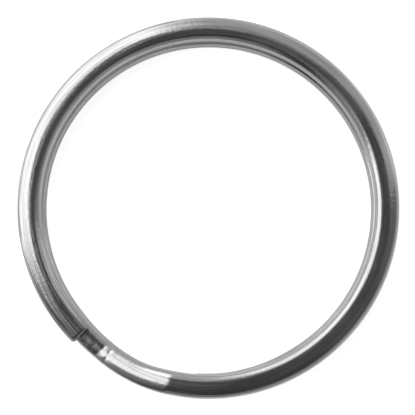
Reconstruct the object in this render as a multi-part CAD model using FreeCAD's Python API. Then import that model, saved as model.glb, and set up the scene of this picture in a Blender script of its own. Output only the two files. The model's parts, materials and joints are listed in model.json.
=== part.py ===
import FreeCAD, Part
import math
import os

# Split key ring: one length of hard nickel-plated spring wire, coiled a little less than twice
# round so that its two turns lie flat on each other. Between them is one short ramp, the
# crossover, where the wire climbs from the lower turn to the upper one. Each turn stops just short
# of the crossover, and a key goes in under that free end and is walked round on to both turns.
#
# The wire bends and twists a little all the way round when an end is lifted, so each turn is made
# of ten stretches that follow one another, and the planes between them are where it flexes.
#
# Millimetres and degrees. +Z is up through the hole of the ring. The origin is at the middle of
# the ring, on the plane that it lies on. Angles run from +X towards +Y.

OUTER_DIAMETER = 32.0
WIRE_WIDTH = 2.0              # across the ring: the wire is rolled to an oval before it is coiled
WIRE_HEIGHT = 1.3             # before the turns press its top and underside flat
CROWN_RADIUS = 2.3            # of the oval's low crown, on the top and the underside
LAND_DEPTH = 0.01             # pressed off the top and the underside, where the turns meet
TURN_GAP = 0.02               # between the two closed turns
CROSSOVER_ANGLE = 245.4       # middle of the ramp
CROSSOVER_SPAN = 28.6         # of the whole crossover stretch, with its level ends
RAMP_SPAN = 25.2              # of the ramp itself, from knee to knee
KNEE_RADIUS = 1.2             # of the wire's centre line, where it turns up and turns level again
WIRE_SPAN = 680.2             # of the whole wire, from free end to free end
STRETCHES_PER_TURN = 10
FLEX_GAP = 0.04               # between two stretches that follow one another
TIP_ROUNDING = 0.3            # on the rim of each sheared free end

HALF_WIDTH = WIRE_WIDTH / 2
HALF_OVAL = WIRE_HEIGHT / 2
COIL_RADIUS = (OUTER_DIAMETER - WIRE_WIDTH) / 2
# The oval is four arcs: a low crown above and below, and two sides that meet both crowns smoothly.
SIDE_RADIUS = ((2 * CROWN_RADIUS * HALF_OVAL - HALF_WIDTH ** 2 - HALF_OVAL ** 2)
               / (2 * (CROWN_RADIUS - HALF_WIDTH)))
SIDE_CENTRE = HALF_WIDTH - SIDE_RADIUS
CROWN_DROP = CROWN_RADIUS - HALF_OVAL         # a crown's centre is this far past the wire's middle
CROWN_LEAN = math.atan2(SIDE_CENTRE, CROWN_DROP)
HALF_HEIGHT = HALF_OVAL - LAND_DEPTH
HALF_LAND = math.sqrt(CROWN_RADIUS ** 2 - (CROWN_RADIUS - LAND_DEPTH) ** 2)
LAND_LEAN = math.asin(HALF_LAND / CROWN_RADIUS)
TURN_PITCH = 2 * HALF_HEIGHT + TURN_GAP
MIDDLE_HEIGHT = HALF_HEIGHT + TURN_PITCH / 2
STRETCH_SPAN = (WIRE_SPAN - CROSSOVER_SPAN) / 2 / STRETCHES_PER_TURN
HALF_FLEX_GAP_ANGLE = math.degrees(FLEX_GAP / 2 / COIL_RADIUS)

CROSSOVER_SECTIONS = 50       # outlines, evenly spaced, that its surface is drawn through
ON_PLANE = 1e-6               # a point closer to a plane than this is on it

UPPER = 1                     # the upper turn runs from the crossover towards rising angles
LOWER = -1                    # the lower turn runs the other way

UP = FreeCAD.Vector(0, 0, 1)
CENTRE = FreeCAD.Vector(0, 0, 0)


def outward(angle):
    """Unit vector from the middle of the ring towards an angle."""
    turn = math.radians(angle)
    return FreeCAD.Vector(math.cos(turn), math.sin(turn), 0)


def section(angle, height, slope=0.0):
    """Outline of the wire, square to a centre line that climbs by slope degrees."""
    side = outward(angle)
    lean = math.radians(slope)
    top = UP * math.cos(lean) - UP.cross(side) * math.sin(lean)
    middle = side * COIL_RADIUS + UP * height

    def point(across, above):
        return middle + side * across + top * above

    def land(face):
        return Part.LineSegment(point(-face * HALF_LAND, face * HALF_HEIGHT),
                                point(face * HALF_LAND, face * HALF_HEIGHT)).toShape()

    def arc(across, above, radius, first, last):
        """Arc about a point, between two directions that lean from straight up."""
        directions = (first, (first + last) / 2, last)
        return Part.Arc(*[point(across + radius * math.sin(way), above + radius * math.cos(way))
                          for way in directions]).toShape()

    half_turn = math.pi
    return Part.Wire([
        land(1),
        arc(0, -CROWN_DROP, CROWN_RADIUS, LAND_LEAN, CROWN_LEAN),
        arc(SIDE_CENTRE, 0, SIDE_RADIUS, CROWN_LEAN, half_turn - CROWN_LEAN),
        arc(0, CROWN_DROP, CROWN_RADIUS, half_turn - CROWN_LEAN, half_turn - LAND_LEAN),
        land(-1),
        arc(0, CROWN_DROP, CROWN_RADIUS, half_turn + LAND_LEAN, half_turn + CROWN_LEAN),
        arc(-SIDE_CENTRE, 0, SIDE_RADIUS, half_turn + CROWN_LEAN, 2 * half_turn - CROWN_LEAN),
        arc(0, -CROWN_DROP, CROWN_RADIUS, 2 * half_turn - CROWN_LEAN, 2 * half_turn - LAND_LEAN),
    ])


def turn_height(turn):
    """Height of a closed turn's centre line."""
    return MIDDLE_HEIGHT + turn * TURN_PITCH / 2


def flex_angle(turn, index):
    """Angle of a turn's plane number index: 0 is at the crossover, the last is the free end."""
    return CROSSOVER_ANGLE + turn * (CROSSOVER_SPAN / 2 + index * STRETCH_SPAN)


def arc_of_wire(first_angle, last_angle, height):
    """Level stretch of wire between two angles."""
    face = Part.Face(section(first_angle, height))
    return face.revolve(CENTRE, UP, last_angle - first_angle)


def middle_stretch(turn, index):
    """One of a turn's stretches that have a neighbour on both sides."""
    ends = sorted([flex_angle(turn, index), flex_angle(turn, index + 1)])
    return arc_of_wire(ends[0] + HALF_FLEX_GAP_ANGLE, ends[1] - HALF_FLEX_GAP_ANGLE, turn_height(turn))


def free_end(turn):
    """Last stretch of a turn, with the rim of its sheared end tumbled round."""
    flex_end = flex_angle(turn, STRETCHES_PER_TURN - 1) + turn * HALF_FLEX_GAP_ANGLE
    tip = flex_angle(turn, STRETCHES_PER_TURN)
    wire = arc_of_wire(min(flex_end, tip), max(flex_end, tip), turn_height(turn))
    along = UP.cross(outward(tip))
    rim = [edge for edge in wire.Edges
           if all(abs(corner.Point.dot(along)) < ON_PLANE for corner in edge.Vertexes)
           and edge.CenterOfMass.dot(outward(tip)) > 0]
    return wire.makeFillet(TIP_ROUNDING, rim)


def incline_slope():
    """Slope of the straight incline between the two knees, in radians."""
    run = COIL_RADIUS * math.radians(RAMP_SPAN)
    both_knees = 2 * KNEE_RADIUS
    reach = math.hypot(both_knees - TURN_PITCH, run)
    return math.atan2(run, both_knees - TURN_PITCH) - math.acos(both_knees / reach)


def ramp_place(run):
    """Height and slope (radians) of the centre line, run millimetres along from the ramp's middle."""
    slope = incline_slope()
    into_ramp = COIL_RADIUS * math.radians(RAMP_SPAN) / 2 - abs(run)
    knee_run = KNEE_RADIUS * math.sin(slope)
    into_knee = min(max(into_ramp, 0), knee_run)
    knee_rise = KNEE_RADIUS - math.sqrt(KNEE_RADIUS ** 2 - into_knee ** 2)
    incline_rise = max(into_ramp - knee_run, 0) * math.tan(slope)
    below_level = TURN_PITCH / 2 - knee_rise - incline_rise
    return MIDDLE_HEIGHT + math.copysign(below_level, run), math.asin(into_knee / KNEE_RADIUS)


def crossover():
    """The ramp: level, a knee up, an incline, a knee back and level again on the upper turn."""
    half_length = COIL_RADIUS * math.radians(CROSSOVER_SPAN) / 2 - FLEX_GAP / 2
    outlines = []
    for step in range(CROSSOVER_SECTIONS):
        run = half_length * (2 * step / (CROSSOVER_SECTIONS - 1) - 1)
        height, slope = ramp_place(run)
        angle = CROSSOVER_ANGLE + math.degrees(run / COIL_RADIUS)
        outlines.append(section(angle, height, math.degrees(slope)))
    return Part.makeLoft(outlines, True, False)


def write_node(name, shape):
    """Write one stretch of the wire as its own file."""
    shape.exportStep(f"parts/{name}.step")


os.makedirs("parts", exist_ok=True)
write_node("crossover", crossover())
for turn_name, turn in (("upper", UPPER), ("lower", LOWER)):
    for index in range(STRETCHES_PER_TURN - 1):
        write_node(f"{turn_name}_turn_{index + 1:02d}", middle_stretch(turn, index))
    write_node(f"{turn_name}_free_end", free_end(turn))
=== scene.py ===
import json
import math
import bpy
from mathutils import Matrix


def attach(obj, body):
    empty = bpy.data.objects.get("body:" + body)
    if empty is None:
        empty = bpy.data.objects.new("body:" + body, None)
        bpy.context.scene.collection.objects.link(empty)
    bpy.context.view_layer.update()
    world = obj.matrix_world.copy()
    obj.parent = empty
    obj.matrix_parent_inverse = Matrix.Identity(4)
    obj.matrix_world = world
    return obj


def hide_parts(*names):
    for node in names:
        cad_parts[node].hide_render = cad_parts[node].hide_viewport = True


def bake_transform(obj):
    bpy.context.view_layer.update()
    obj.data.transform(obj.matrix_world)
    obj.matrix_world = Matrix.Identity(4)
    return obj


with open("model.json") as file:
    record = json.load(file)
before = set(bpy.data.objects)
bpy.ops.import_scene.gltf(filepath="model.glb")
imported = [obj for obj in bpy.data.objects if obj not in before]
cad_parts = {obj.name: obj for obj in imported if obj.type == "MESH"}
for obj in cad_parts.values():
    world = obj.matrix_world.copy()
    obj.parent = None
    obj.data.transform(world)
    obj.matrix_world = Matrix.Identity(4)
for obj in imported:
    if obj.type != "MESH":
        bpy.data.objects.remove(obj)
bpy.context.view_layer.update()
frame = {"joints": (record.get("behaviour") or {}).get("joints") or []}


# The wire: the whole key ring is one length of hard-drawn spring steel, rolled from round to oval
# and coiled nearly twice round over a mandrel. Its two turns lie flat on each other, and a short
# ramp, the crossover, joins them. A node tree draws any stretch of it from the sizes below.

MM = 0.001
ROWS_PER_DEGREE = 3
COLUMNS = 96
RIM_STEPS = 8

upper_joints = [joint for joint in frame["joints"] if joint["child"].startswith("upper")]
lower_joints = [joint for joint in frame["joints"] if joint["child"].startswith("lower")]
upper_x, upper_y, upper_height = upper_joints[0]["pos_m"]
lower_height = lower_joints[0]["pos_m"][2]
coil_radius = math.hypot(upper_x, upper_y)
turn_pitch = upper_height - lower_height
wire_width = 2.0 * MM
wire_height = turn_pitch                    # the turns touch, so they are this far apart
crown_radius = 2.3 * MM                     # of the oval's low crown, above and below
ramp_span = math.radians(25.2)
knee_radius = 1.2 * MM
crease_place = -0.36 * coil_radius * ramp_span    # a mark across the ramp's foot from the bending tool
skew = 0.35                                 # its knees lie across the wire at a slant, inner side later
lower_end_bow = 0.2 * MM                    # the free end of the lower turn springs out this far,
lower_end_bow_run = 11.0 * MM               # over this much of the wire
end_rounding = 0.3 * MM                     # the sheared ends are tumbled until their rims are round

# The coiling tool pushes the ramp out, and narrows and marks it. A pair of places, along the wire
# from the middle of the crossover, says where such a change begins and where it is complete.
bow = 0.16 * MM
squeeze = 0.07                              # share of the wire's width
bow_rise = (-7.6 * MM, -1.6 * MM)
bow_fall = (0.0, 4.0 * MM)
foot_marks_rise = (-6.3 * MM, -5.1 * MM)
foot_marks_fall = (-2.6 * MM, -1.4 * MM)
head_marks_rise = (2.4 * MM, 3.4 * MM)
head_marks_fall = (4.6 * MM, 5.6 * MM)
head_marks_share = 0.4                      # of the depth of the marks at the foot
marks_lean = math.radians(25)               # the marks are deepest this far over on the inner side


def angle_of(joint):
    """Angle of a joint about the middle of the ring, from +X towards +Y."""
    return math.atan2(joint["pos_m"][1], joint["pos_m"][0])


stretch_span = (angle_of(upper_joints[2]) - angle_of(upper_joints[1])) % math.tau
upper_start = angle_of(upper_joints[0]) % math.tau
lower_start = angle_of(lower_joints[0]) % math.tau
crossover_angle = (upper_start + lower_start) / 2

lower_end_run = (lower_start - crossover_angle) - len(lower_joints) * stretch_span
end_run = -lower_end_run * coil_radius      # of wire, from the middle of the crossover to either end

half_width = wire_width / 2
half_height = wire_height / 2
side_radius = ((2 * crown_radius * half_height - half_width ** 2 - half_height ** 2)
               / (2 * (crown_radius - half_width)))
side_centre = half_width - side_radius
crown_drop = crown_radius - half_height
crown_lean = math.atan2(side_centre, crown_drop)
ramp_run = coil_radius * ramp_span
ramp_slope = (math.atan2(ramp_run, 2 * knee_radius - turn_pitch)
              - math.acos(2 * knee_radius / math.hypot(2 * knee_radius - turn_pitch, ramp_run)))


def add(tree, kind, inputs=None, **settings):
    """Add a node with its settings; an input is a value to set or another node's socket to link."""
    node = tree.nodes.new(kind)
    for name, value in settings.items():
        setattr(node, name, value)
    for name, value in (inputs or {}).items():
        if isinstance(value, bpy.types.NodeSocket):
            tree.links.new(value, node.inputs[name])
        else:
            node.inputs[name].default_value = value
    return node


def wire_tree():
    """Node tree that draws a stretch of the wire between two angles, with its own ends closed."""
    tree = bpy.data.node_groups.new("ring_wire", "GeometryNodeTree")
    sockets = (("First Angle", "NodeSocketFloat", 0.0), ("Last Angle", "NodeSocketFloat", 1.0),
               ("First Rounding", "NodeSocketFloat", 0.0), ("Last Rounding", "NodeSocketFloat", 0.0),
               ("Rows", "NodeSocketInt", 100), ("Columns", "NodeSocketInt", COLUMNS),
               ("Coil Radius", "NodeSocketFloat", coil_radius),
               ("Crown Radius", "NodeSocketFloat", crown_radius),
               ("Crown Drop", "NodeSocketFloat", crown_drop),
               ("Crown Lean", "NodeSocketFloat", crown_lean),
               ("Side Radius", "NodeSocketFloat", side_radius),
               ("Side Centre", "NodeSocketFloat", side_centre),
               ("Crossover Angle", "NodeSocketFloat", crossover_angle),
               ("Middle Height", "NodeSocketFloat", (upper_height + lower_height) / 2),
               ("Turn Pitch", "NodeSocketFloat", turn_pitch),
               ("Half Ramp", "NodeSocketFloat", ramp_run / 2),
               ("Knee Radius", "NodeSocketFloat", knee_radius),
               ("Ramp Slope", "NodeSocketFloat", ramp_slope),
               ("Waviness", "NodeSocketFloat", 0.004 * MM),
               ("Bow", "NodeSocketFloat", bow), ("Squeeze", "NodeSocketFloat", squeeze),
               ("Skew", "NodeSocketFloat", skew),
               ("Lower End", "NodeSocketFloat", coil_radius * lower_end_run),
               ("Lower End Bow", "NodeSocketFloat", lower_end_bow),
               ("Lower End Bow Run", "NodeSocketFloat", lower_end_bow_run),
               ("Tool Marks", "NodeSocketFloat", 0.05 * MM),
               ("Crease Place", "NodeSocketFloat", crease_place),
               ("Crease Width", "NodeSocketFloat", 0.12 * MM),
               ("Crease Depth", "NodeSocketFloat", 0.02 * MM),
               ("Wire Finish", "NodeSocketMaterial", None))
    for name, kind, value in sockets:
        socket = tree.interface.new_socket(name, in_out="INPUT", socket_type=kind)
        if value is not None:
            socket.default_value = value
    tree.interface.new_socket("Wire", in_out="OUTPUT", socket_type="NodeSocketGeometry")
    size = add(tree, "NodeGroupInput").outputs

    def calc(operation, *values):
        return add(tree, "ShaderNodeMath", dict(enumerate(values)), operation=operation).outputs[0]

    # A flat grid is rolled up: one way becomes rows along the wire, the other goes round it.
    row_count = calc("ADD", size["Rows"], 2.0 * (RIM_STEPS + 1))
    grid = add(tree, "GeometryNodeMeshGrid", {"Size X": 1.0, "Size Y": 1.0, "Vertices X": row_count,
                                              "Vertices Y": calc("ADD", size["Columns"], 1.0)})
    place = add(tree, "ShaderNodeSeparateXYZ", {0: add(tree, "GeometryNodeInputPosition").outputs[0]})
    last_row = calc("SUBTRACT", row_count, 1.0)
    row = calc("MULTIPLY", calc("ADD", place.outputs["X"], 0.5), last_row)
    rows_from_end = calc("MINIMUM", row, calc("SUBTRACT", last_row, row))
    at_last = calc("GREATER_THAN", place.outputs["X"], 0.0)

    # The first rows at each end close it: a middle point, then a rounded rim.
    rim_turn = add(tree, "ShaderNodeMapRange", {"Value": rows_from_end, "From Min": 1.0,
                                                "From Max": 1.0 + RIM_STEPS, "To Min": 0.0,
                                                "To Max": math.pi / 2}).outputs["Result"]
    rounding = add(tree, "ShaderNodeMix", {"Factor": at_last, "A": size["First Rounding"],
                                           "B": size["Last Rounding"]}).outputs["Result"]
    pulled_in = calc("MULTIPLY", rounding, calc("SUBTRACT", 1.0, calc("SINE", rim_turn)))
    end_sign = calc("SUBTRACT", calc("MULTIPLY", at_last, 2.0), 1.0)
    overhang = calc("MULTIPLY", calc("MULTIPLY", rounding, calc("COSINE", rim_turn)), end_sign)
    not_pole = calc("GREATER_THAN", rows_from_end, 0.5)

    # Angle of each row about the middle of the ring.
    first = calc("ADD", size["First Angle"], calc("DIVIDE", size["First Rounding"], size["Coil Radius"]))
    last = calc("SUBTRACT", size["Last Angle"],
                calc("DIVIDE", size["Last Rounding"], size["Coil Radius"]))
    angle = add(tree, "ShaderNodeMapRange",
                {"Value": row, "From Min": 1.0 + RIM_STEPS,
                 "From Max": calc("SUBTRACT", last_row, 1.0 + RIM_STEPS),
                 "To Min": first, "To Max": last}).outputs["Result"]
    run = calc("MULTIPLY", calc("SUBTRACT", angle, size["Crossover Angle"]), size["Coil Radius"])

    # The ramp: how far a row is into it, into its knee, and what that makes its height and slope.
    facing = calc("MULTIPLY", place.outputs["Y"], math.tau)
    ramp_lag = calc("MULTIPLY", calc("MULTIPLY", calc("SINE", facing), half_width), size["Skew"])
    ramp_run_here = calc("ADD", run, calc("MULTIPLY", ramp_lag, not_pole))
    into_ramp = calc("SUBTRACT", size["Half Ramp"], calc("ABSOLUTE", ramp_run_here))
    knee_run = calc("MULTIPLY", size["Knee Radius"], calc("SINE", size["Ramp Slope"]))
    into_knee = calc("MINIMUM", calc("MAXIMUM", into_ramp, 0.0), knee_run)
    knee_square = calc("MULTIPLY", size["Knee Radius"], size["Knee Radius"])
    knee_rise = calc("SUBTRACT", size["Knee Radius"],
                     calc("SQRT", calc("SUBTRACT", knee_square, calc("MULTIPLY", into_knee, into_knee))))
    incline = calc("MULTIPLY", calc("MAXIMUM", calc("SUBTRACT", into_ramp, knee_run), 0.0),
                   calc("TANGENT", size["Ramp Slope"]))
    from_middle = calc("SUBTRACT", calc("SUBTRACT", calc("MULTIPLY", size["Turn Pitch"], 0.5), knee_rise),
                       incline)
    height = calc("ADD", size["Middle Height"], calc("MULTIPLY", calc("SIGN", ramp_run_here), from_middle))
    slope = calc("ARCSINE", calc("DIVIDE", into_knee, size["Knee Radius"]))

    # The ramp and the wire at its foot bow outwards, and are a little narrower.
    def smooth_step(value, start, end):
        return add(tree, "ShaderNodeMapRange", {"Value": value, "From Min": start, "From Max": end,
                                                "To Min": 0.0, "To Max": 1.0},
                   interpolation_type="SMOOTHSTEP").outputs["Result"]

    def rise_and_fall(rise, fall):
        return calc("MULTIPLY", smooth_step(run, *rise), calc("SUBTRACT", 1.0, smooth_step(run, *fall)))

    bowing = rise_and_fall(bow_rise, bow_fall)
    near_lower_end = calc("SUBTRACT", 1.0, smooth_step(calc("SUBTRACT", run, size["Lower End"]),
                                                      0.0, size["Lower End Bow Run"]))
    bowed_out = calc("ADD", calc("MULTIPLY", bowing, size["Bow"]),
                     calc("MULTIPLY", near_lower_end, size["Lower End Bow"]))
    radius_out = calc("ADD", size["Coil Radius"], bowed_out)
    narrowing = calc("SUBTRACT", 1.0, calc("MULTIPLY", bowing, size["Squeeze"]))

    # The oval: four arcs, followed by the direction that the surface faces.
    from_upright = calc("ABSOLUTE", facing)
    on_top = calc("LESS_THAN", from_upright, size["Crown Lean"])
    on_base = calc("GREATER_THAN", from_upright, calc("SUBTRACT", math.pi, size["Crown Lean"]))
    on_crown = calc("ADD", on_top, on_base)
    radius = add(tree, "ShaderNodeMix", {"Factor": on_crown, "A": size["Side Radius"],
                                         "B": size["Crown Radius"]}).outputs["Result"]
    centre_across = calc("MULTIPLY", calc("MULTIPLY", size["Side Centre"], calc("SIGN", facing)),
                         calc("SUBTRACT", 1.0, on_crown))
    centre_above = calc("MULTIPLY", size["Crown Drop"], calc("SUBTRACT", on_base, on_top))
    across_full = calc("MULTIPLY", narrowing,
                       calc("ADD", centre_across, calc("MULTIPLY", radius, calc("SINE", facing))))
    above_full = calc("ADD", centre_above, calc("MULTIPLY", radius, calc("COSINE", facing)))

    # Drawing and coiling leave the surface very slightly wavy, in waves 5 mm long and 1.6 mm across.
    wave_place = add(tree, "ShaderNodeCombineXYZ",
                     {"X": calc("DIVIDE", across_full, 1.6 * MM), "Y": calc("DIVIDE", run, 5.0 * MM),
                      "Z": calc("DIVIDE", above_full, 1.6 * MM)}).outputs[0]
    wave = add(tree, "ShaderNodeTexNoise", {"Vector": wave_place, "Scale": 1.0, "Detail": 1.0},
               noise_dimensions="3D").outputs[0]
    swell = calc("MULTIPLY", calc("SUBTRACT", wave, 0.5), size["Waviness"])

    # The tool that bent the ramp left its foot and its head uneven on top, with a shallow crease
    # across the foot.
    mark_place = add(tree, "ShaderNodeCombineXYZ",
                     {"X": calc("DIVIDE", across_full, 0.45 * MM), "Y": calc("DIVIDE", run, 0.6 * MM),
                      "Z": calc("DIVIDE", above_full, 0.6 * MM)}).outputs[0]
    marks = add(tree, "ShaderNodeTexNoise", {"Vector": mark_place, "Scale": 1.0, "Detail": 1.0},
                noise_dimensions="3D").outputs[0]
    marked_foot = rise_and_fall(foot_marks_rise, foot_marks_fall)
    marked_head = rise_and_fall(head_marks_rise, head_marks_fall)
    marked_length = calc("MULTIPLY_ADD", marked_head, head_marks_share, marked_foot)
    unevenness = calc("MULTIPLY", calc("MULTIPLY", calc("SUBTRACT", marks, 0.5), marked_length),
                      size["Tool Marks"])
    from_crease = calc("DIVIDE", calc("SUBTRACT", run, size["Crease Place"]), size["Crease Width"])
    crease = calc("EXPONENT", calc("MULTIPLY", calc("MULTIPLY", from_crease, from_crease), -1.0))
    facing_up = calc("MAXIMUM", calc("COSINE", calc("ADD", facing, marks_lean)), 0.0)
    dent = calc("MULTIPLY", calc("MULTIPLY_ADD", crease, size["Crease Depth"], unevenness), facing_up)
    inset = calc("ADD", calc("SUBTRACT", pulled_in, swell), dent)
    across = calc("MULTIPLY", calc("SUBTRACT", across_full, calc("MULTIPLY", inset, calc("SINE", facing))),
                  not_pole)
    above = calc("MULTIPLY", calc("SUBTRACT", above_full, calc("MULTIPLY", inset, calc("COSINE", facing))),
                 not_pole)

    # The wire's own measures stay with the surface, so that its finish follows the wire.
    on_wire = add(tree, "ShaderNodeCombineXYZ", {"X": across, "Y": calc("ADD", run, overhang),
                                                 "Z": above}).outputs[0]
    marked = add(tree, "GeometryNodeStoreNamedAttribute",
                 {"Geometry": grid.outputs["Mesh"], "Name": "wire_place", "Value": on_wire},
                 data_type="FLOAT_VECTOR", domain="POINT")
    section = add(tree, "ShaderNodeCombineXYZ", {"X": across, "Y": overhang, "Z": above}).outputs[0]
    leaned = add(tree, "ShaderNodeVectorRotate", {"Vector": section, "Angle": slope},
                 rotation_type="X_AXIS").outputs[0]
    centre = add(tree, "ShaderNodeCombineXYZ", {"X": radius_out, "Z": height}).outputs[0]
    set_out = add(tree, "ShaderNodeVectorMath", {0: leaned, 1: centre}, operation="ADD").outputs[0]
    turned = add(tree, "ShaderNodeVectorRotate", {"Vector": set_out, "Angle": angle},
                 rotation_type="Z_AXIS").outputs[0]
    rolled = add(tree, "GeometryNodeSetPosition", {"Geometry": marked.outputs["Geometry"],
                                                   "Position": turned})
    welded = add(tree, "GeometryNodeMergeByDistance", {"Geometry": rolled.outputs[0],
                                                       "Distance": 0.0005 * MM})
    outward = add(tree, "GeometryNodeFlipFaces", {"Mesh": welded.outputs[0]})
    plated = add(tree, "GeometryNodeSetMaterial", {"Geometry": outward.outputs[0],
                                                   "Material": size["Wire Finish"]})
    realised = add(tree, "GeometryNodeRealizeInstances", {"Geometry": plated.outputs[0]})
    add(tree, "NodeGroupOutput", {0: realised.outputs[0]})
    return tree


ring_wire = wire_tree()


# The finish: bright nickel, barrel-plated over the drawn steel after coiling. It mirrors its
# surroundings. The lines that the drawing die left along the wire still show through it, and some
# of them are painted dark: painted shade in the die lines, mostly near the free ends.

def linear(hex_colour):
    """Linear colour of an sRGB hex value."""
    channels = [int(hex_colour[place:place + 2], 16) / 255 for place in (1, 3, 5)]
    return [value / 12.92 if value <= 0.04045 else ((value + 0.055) / 1.055) ** 2.4
            for value in channels] + [1.0]


def nickel_plate():
    """Bright nickel plate on drawn spring steel."""
    material = bpy.data.materials.new("nickel_plated_drawn_steel")
    material.use_nodes = True
    tree = material.node_tree
    tree.nodes.clear()
    place = add(tree, "ShaderNodeAttribute", attribute_name="wire_place").outputs["Vector"]
    # Real die lines are under 0.05 mm apart. They are drawn 0.25 mm apart, to show at this distance.
    line_place = add(tree, "ShaderNodeVectorMath", {0: place, 1: (4000.0, 110.0, 4000.0)},
                     operation="MULTIPLY").outputs[0]
    lines = add(tree, "ShaderNodeTexNoise", {"Vector": line_place, "Scale": 1.0, "Detail": 3.0}).outputs[0]
    # Fine pits, about 0.3 mm apart, that the plate follows instead of filling.
    pits = add(tree, "ShaderNodeTexNoise", {"Vector": place, "Scale": 3300.0, "Detail": 2.0}).outputs[0]
    # The lines are deeper near the free ends, where the jaws that coil the wire pull on it.
    along = add(tree, "ShaderNodeSeparateXYZ", {0: place}).outputs["Y"]
    from_middle = add(tree, "ShaderNodeMath", {0: along}, operation="ABSOLUTE").outputs[0]
    marked_from, marked_fully_from = 78 * MM, 86 * MM
    near_end = add(tree, "ShaderNodeMapRange", {"Value": from_middle, "From Min": marked_from,
                                                "From Max": marked_fully_from}).outputs["Result"]
    line_depth = add(tree, "ShaderNodeMapRange", {"Value": near_end, "To Min": 0.012 * MM,
                                                  "To Max": 0.05 * MM}).outputs["Result"]
    line_height = add(tree, "ShaderNodeMath", {0: lines, 1: line_depth}, operation="MULTIPLY").outputs[0]
    height = add(tree, "ShaderNodeMath", {0: pits, 1: 0.008 * MM, 2: line_height},
                 operation="MULTIPLY_ADD").outputs[0]
    relief = add(tree, "ShaderNodeBump", {"Height": height, "Distance": 1.0, "Strength": 1.0})
    # Painted shade: dark lines of their own, about 0.15 mm apart and mostly near the free ends, are
    # painted into the colour for the shade in the die lines.
    die_line_shade_place = add(tree, "ShaderNodeVectorMath", {0: place, 1: (6500.0, 170.0, 6500.0)},
                     operation="MULTIPLY").outputs[0]
    die_line_shade_noise = add(tree, "ShaderNodeTexNoise", {"Vector": die_line_shade_place, "Scale": 1.0,
                                                  "Detail": 2.0}).outputs[0]
    die_line_shade = add(tree, "ShaderNodeMapRange", {"Value": die_line_shade_noise, "From Min": 0.44,
                                            "From Max": 0.60}).outputs["Result"]
    die_line_shade_share = add(tree, "ShaderNodeMapRange", {"Value": near_end, "To Min": 0.22,
                                                  "To Max": 0.7}).outputs["Result"]
    painted_die_line_shade = add(tree, "ShaderNodeMath", {0: die_line_shade, 1: die_line_shade_share}, operation="MULTIPLY").outputs[0]
    # The sheared ends are rough and duller under the plate, and are painted darker as painted shade.
    on_end = add(tree, "ShaderNodeMapRange", {"Value": from_middle, "From Min": end_run - 0.25 * MM,
                                              "From Max": end_run - 0.05 * MM,
                                              "To Max": 0.7}).outputs["Result"]
    painted_shade_and_dull_end = add(tree, "ShaderNodeMath", {0: painted_die_line_shade, 1: on_end}, operation="MAXIMUM").outputs[0]
    # The dark colour is painted shade in the die lines and at the ends, and the ends' own duller steel.
    colour = add(tree, "ShaderNodeMix", {"Factor": painted_shade_and_dull_end, "A": linear("#d3d3d2"),
                                         "B": linear("#5c5c5b")}, data_type="RGBA")
    # The plate is worn a little duller in patches a few millimetres long.
    wear_place = add(tree, "ShaderNodeVectorMath", {0: place, 1: (900.0, 250.0, 900.0)},
                     operation="MULTIPLY").outputs[0]
    wear = add(tree, "ShaderNodeTexNoise", {"Vector": wear_place, "Scale": 1.0, "Detail": 3.0}).outputs[0]
    dullness = add(tree, "ShaderNodeMapRange", {"Value": wear, "From Min": 0.3, "From Max": 0.7,
                                                "To Min": 0.12, "To Max": 0.22}).outputs["Result"]
    shader = add(tree, "ShaderNodeBsdfPrincipled", {"Metallic": 1.0, "Roughness": dullness,
                                                    "Base Color": colour.outputs["Result"],
                                                    "Normal": relief.outputs[0]})
    add(tree, "ShaderNodeOutputMaterial", {"Surface": shader.outputs[0]})
    return material


nickel = nickel_plate()


def wire_piece(name, first_angle, last_angle, first_rounding=0.0, last_rounding=0.0):
    """Plain mesh of the wire between two angles, drawn by the node tree."""
    rough = bpy.data.objects.new(name + "_rough", bpy.data.meshes.new(name + "_rough"))
    bpy.context.scene.collection.objects.link(rough)
    modifier = rough.modifiers.new("ring_wire", "NODES")
    modifier.node_group = ring_wire
    sizes = {"First Angle": first_angle, "Last Angle": last_angle, "First Rounding": first_rounding,
             "Last Rounding": last_rounding, "Wire Finish": nickel,
             "Rows": round(math.degrees(last_angle - first_angle) * ROWS_PER_DEGREE) + 1}
    for socket in ring_wire.interface.items_tree:
        if socket.in_out == "INPUT" and socket.name in sizes:
            modifier[socket.identifier] = sizes[socket.name]
        elif socket.in_out == "INPUT" and hasattr(socket, "default_value"):
            modifier[socket.identifier] = socket.default_value
    bpy.context.view_layer.update()
    drawn = rough.evaluated_get(bpy.context.evaluated_depsgraph_get())
    piece = bpy.data.objects.new(name, bpy.data.meshes.new_from_object(drawn))
    bpy.data.objects.remove(rough)
    bpy.context.scene.collection.objects.link(piece)
    piece.data.polygons.foreach_set("use_smooth", [True] * len(piece.data.polygons))
    piece.data.set_sharp_from_angle(angle=math.radians(35))
    return piece


# The crossover: the ramp where the wire climbs from the lower turn to the upper one, with a knee
# at its foot and another at its head. It is the same wire, set to this shape by the coiling tool.

crossover_trim = math.radians(1.0)          # left to the first stretch of each turn
crossover = wire_piece("crossover_wire", lower_start + crossover_trim, upper_start - crossover_trim)
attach(crossover, "crossover")
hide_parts("crossover")


# The two turns: each is the wire from the crossover round to its own free end. A turn flexes all
# the way round when its end is lifted; it is drawn as ten stretches, one about each joint.


def turn_wire(turn_name, joints, direction):
    """Draw one turn of the wire, stretch by stretch, from the crossover to its free end."""
    start = upper_start if direction > 0 else lower_start
    for index, joint in enumerate(joints):
        flex_angle = start + direction * index * stretch_span
        near = flex_angle - direction * (crossover_trim if index == 0 else stretch_span / 2)
        is_last = index == len(joints) - 1
        far = flex_angle + direction * stretch_span * (1.0 if is_last else 0.5)
        roundings = [0.0, end_rounding if is_last else 0.0][::direction]
        first, last = (near, far)[::direction]
        piece = wire_piece(f"{turn_name}_wire_{index + 1:02d}", first, last, *roundings)
        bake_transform(piece)
        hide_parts(joint["child"])


turn_wire("upper", upper_joints, 1)
turn_wire("lower", lower_joints, -1)


# The studio: the ring lies on a plain white table under soft daylight. A window at the upper left
# gives most of it, pale walls give a little, and the camera above the ring hides the ceiling.

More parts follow.
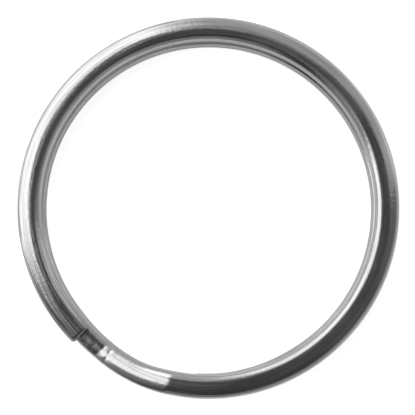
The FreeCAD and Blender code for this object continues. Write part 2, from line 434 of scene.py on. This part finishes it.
table_mesh = bpy.data.meshes.new("table_top")
half_table = 0.6
table_mesh.from_pydata([(-half_table, -half_table, 0), (half_table, -half_table, 0),
                        (half_table, half_table, 0), (-half_table, half_table, 0)], [], [(0, 1, 2, 3)])
table_top = bpy.data.objects.new("table_top", table_mesh)
bpy.context.scene.collection.objects.link(table_top)
white_table = bpy.data.materials.new("white_laminate")      # exposed so that it shows as pure white
white_table.use_nodes = True
table_tree = white_table.node_tree
table_tree.nodes.clear()
overexposed = add(table_tree, "ShaderNodeMath",
                  {0: add(table_tree, "ShaderNodeLightPath").outputs["Is Camera Ray"], 1: 0.6, 2: 0.2},
                  operation="MULTIPLY_ADD")
table_finish = add(table_tree, "ShaderNodeBsdfPrincipled",
                   {"Base Color": linear("#ececec"), "Roughness": 0.35,
                    "Emission Color": linear("#ffffff"), "Emission Strength": overexposed.outputs[0]})
add(table_tree, "ShaderNodeOutputMaterial", {"Surface": table_finish.outputs[0]})
table_mesh.materials.append(white_table)


def light_panel_tree():
    """Node tree for a soft-edged patch of light, from one angle below the camera to the horizon."""
    tree = bpy.data.node_groups.new("light_panel", "ShaderNodeTree")
    for name in ("Compass", "From Camera", "Middle", "Half Width", "Side Softness", "Top",
                 "Top Softness", "Brightness"):
        tree.interface.new_socket(name, in_out="INPUT", socket_type="NodeSocketFloat")
    tree.interface.new_socket("Light", in_out="OUTPUT", socket_type="NodeSocketFloat")
    size = add(tree, "NodeGroupInput").outputs

    def calc(operation, *values):
        return add(tree, "ShaderNodeMath", dict(enumerate(values)), operation=operation).outputs[0]

    def step_up(value, edge, softness):
        half = calc("MULTIPLY", softness, 0.5)
        return add(tree, "ShaderNodeMapRange",
                   {"Value": value, "From Min": calc("SUBTRACT", edge, half),
                    "From Max": calc("ADD", edge, half), "To Min": 0.0, "To Max": 1.0},
                   interpolation_type="SMOOTHSTEP").outputs["Result"]

    aside = calc("ABSOLUTE", calc("WRAP", calc("SUBTRACT", size["Compass"], size["Middle"]),
                                  math.pi, -math.pi))
    within = calc("SUBTRACT", 1.0, step_up(aside, size["Half Width"], size["Side Softness"]))
    below = step_up(size["From Camera"], size["Top"], size["Top Softness"])
    add(tree, "NodeGroupOutput", {0: calc("MULTIPLY", calc("MULTIPLY", within, below),
                                          size["Brightness"])})
    return tree


studio = bpy.data.worlds.new("studio")
bpy.context.scene.world = studio
studio.use_nodes = True
room = studio.node_tree
room.nodes.clear()
way = add(room, "ShaderNodeTexCoord").outputs["Generated"]
way_parts = add(room, "ShaderNodeSeparateXYZ", {0: way}).outputs
compass = add(room, "ShaderNodeMath", {0: way_parts["Y"], 1: way_parts["X"]},
              operation="ARCTAN2").outputs[0]
camera_way = (0.158, 0.040, 0.987)          # the camera and its shade lean a little to the right
towards_camera = add(room, "ShaderNodeVectorMath", {0: way, 1: camera_way},
                     operation="DOT_PRODUCT").outputs["Value"]
from_camera = add(room, "ShaderNodeMath", {0: towards_camera}, operation="ARCCOSINE").outputs[0]
light_panel = light_panel_tree()
light = 0.075                               # the dark ceiling and camera
for middle, half_width, side_softness, top, top_softness, brightness in (
        (145, 46, 15, 26, 11, 1.30),        # window
        (55, 41, 8, 15, 10, 0.36),          # pale wall at the upper right
        (200, 22, 16, 18, 12, 0.20),        # pale wall at the left
        (355, 40, 30, 14, 10, 0.05),        # paler ceiling at the right
        (340, 55, 30, 38, 20, 0.09),        # pale wall at the right
        (215, 25, 20, 45, 14, -0.16),       # dark furniture at the lower left
        (285, 70, 30, 26, 12, -0.03),       # dark clothes of whoever holds the camera
        (0, 181, 1, 52, 20, 0.18)):         # the lower walls all round
    panel = add(room, "ShaderNodeGroup", node_tree=light_panel)
    panel_sizes = {"Middle": middle, "Half Width": half_width, "Side Softness": side_softness,
                   "Top": top, "Top Softness": top_softness}
    for socket_name, degrees in panel_sizes.items():
        panel.inputs[socket_name].default_value = math.radians(degrees)
    panel.inputs["Brightness"].default_value = brightness
    room.links.new(compass, panel.inputs["Compass"])
    room.links.new(from_camera, panel.inputs["From Camera"])
    light = add(room, "ShaderNodeMath", {0: light, 1: panel.outputs[0]}, operation="ADD").outputs[0]
white_wall = add(room, "ShaderNodeBackground", {"Color": (1, 1, 1, 1), "Strength": 1.0})
lit_room = add(room, "ShaderNodeBackground", {"Color": (1, 1, 1, 1), "Strength": light})
seen = add(room, "ShaderNodeMixShader", {0: add(room, "ShaderNodeLightPath").outputs["Is Camera Ray"],
                                         1: lit_room.outputs[0], 2: white_wall.outputs[0]})
add(room, "ShaderNodeOutputWorld", {"Surface": seen.outputs[0]})


# The screen: a tall curved sheet of white diffuser that stands close round the upper left of the
# ring, with the daylight behind its lower part. It is kept out of the picture.

screen_middle = (-7.4 * MM, 14.3 * MM)
screen_radius = 27.1 * MM
screen_height = 240 * MM
screen_start = 91                           # degrees about its own middle, from +X towards +Y
screen_sweep = 130
screen_steps = 48
screen_points = []
for step in range(screen_steps + 1):
    turn = math.radians(screen_start + screen_sweep * step / screen_steps)
    foot = (screen_middle[0] + screen_radius * math.cos(turn),
            screen_middle[1] + screen_radius * math.sin(turn))
    screen_points += [(*foot, 0.0), (*foot, screen_height)]
screen_mesh = bpy.data.meshes.new("daylight_screen")
screen_mesh.from_pydata(screen_points, [], [(2 * step, 2 * step + 1, 2 * step + 3, 2 * step + 2)
                                            for step in range(screen_steps)])
screen = bpy.data.objects.new("daylight_screen", screen_mesh)
screen.visible_camera = False
bpy.context.scene.collection.objects.link(screen)
diffuser = bpy.data.materials.new("daylight_diffuser")      # white film that glows with the daylight
diffuser.use_nodes = True
diffuser_tree = diffuser.node_tree
diffuser_tree.nodes.clear()
screen_place = add(diffuser_tree, "ShaderNodeTexCoord").outputs["Object"]
# It glows fully up to 50 mm and hardly above 125 mm, and fades at its foot and at its right edge.
across_screen, _, up_screen = add(diffuser_tree, "ShaderNodeSeparateXYZ", {0: screen_place}).outputs
upper_glow = add(diffuser_tree, "ShaderNodeMapRange",
                 {"Value": up_screen, "From Min": 90 * MM, "From Max": 220 * MM,
                  "To Min": 0.3, "To Max": 0.1}).outputs["Result"]
lower_glow = add(diffuser_tree, "ShaderNodeMapRange",
                 {"Value": up_screen, "From Min": 50 * MM, "From Max": 125 * MM,
                  "To Min": 1.25, "To Max": 0.0}, interpolation_type="SMOOTHSTEP").outputs["Result"]
foot_shade = add(diffuser_tree, "ShaderNodeMapRange",
                 {"Value": up_screen, "From Min": 0.0, "From Max": 14 * MM,
                  "To Min": 0.35, "To Max": 1.0}, interpolation_type="SMOOTHSTEP").outputs["Result"]
edge_shade = add(diffuser_tree, "ShaderNodeMapRange",
                 {"Value": across_screen, "From Min": -14 * MM, "From Max": -6 * MM,
                  "To Min": 1.0, "To Max": 0.45}, interpolation_type="SMOOTHSTEP").outputs["Result"]
shade = add(diffuser_tree, "ShaderNodeMath", {0: foot_shade, 1: edge_shade}, operation="MULTIPLY")
both_glows = add(diffuser_tree, "ShaderNodeMath", {0: upper_glow, 1: lower_glow}, operation="ADD")
brightness = add(diffuser_tree, "ShaderNodeMath", {0: both_glows.outputs[0], 1: shade.outputs[0]},
                 operation="MULTIPLY")
glow = add(diffuser_tree, "ShaderNodeEmission", {"Strength": brightness.outputs[0]})
add(diffuser_tree, "ShaderNodeOutputMaterial", {"Surface": glow.outputs[0]})
screen_mesh.materials.append(diffuser)


# The camera: it looks almost straight down on the ring from a hand's breadth above.

camera_data = bpy.data.cameras.new("camera")
camera_data.lens = 49.65
camera_data.shift_x = -0.0317               # the ring sits a little right of the lens axis and below it
camera_data.shift_y = 0.0917
camera_data.clip_start = 1 * MM
camera = bpy.data.objects.new("camera", camera_data)
camera.location = (1.296 * MM, -4.211 * MM, 49.89 * MM)
camera.rotation_euler = (math.radians(1.16), math.radians(0.28), 0.0)
bpy.context.scene.collection.objects.link(camera)
bpy.context.scene.camera = camera
bpy.context.scene.view_settings.view_transform = "Standard"
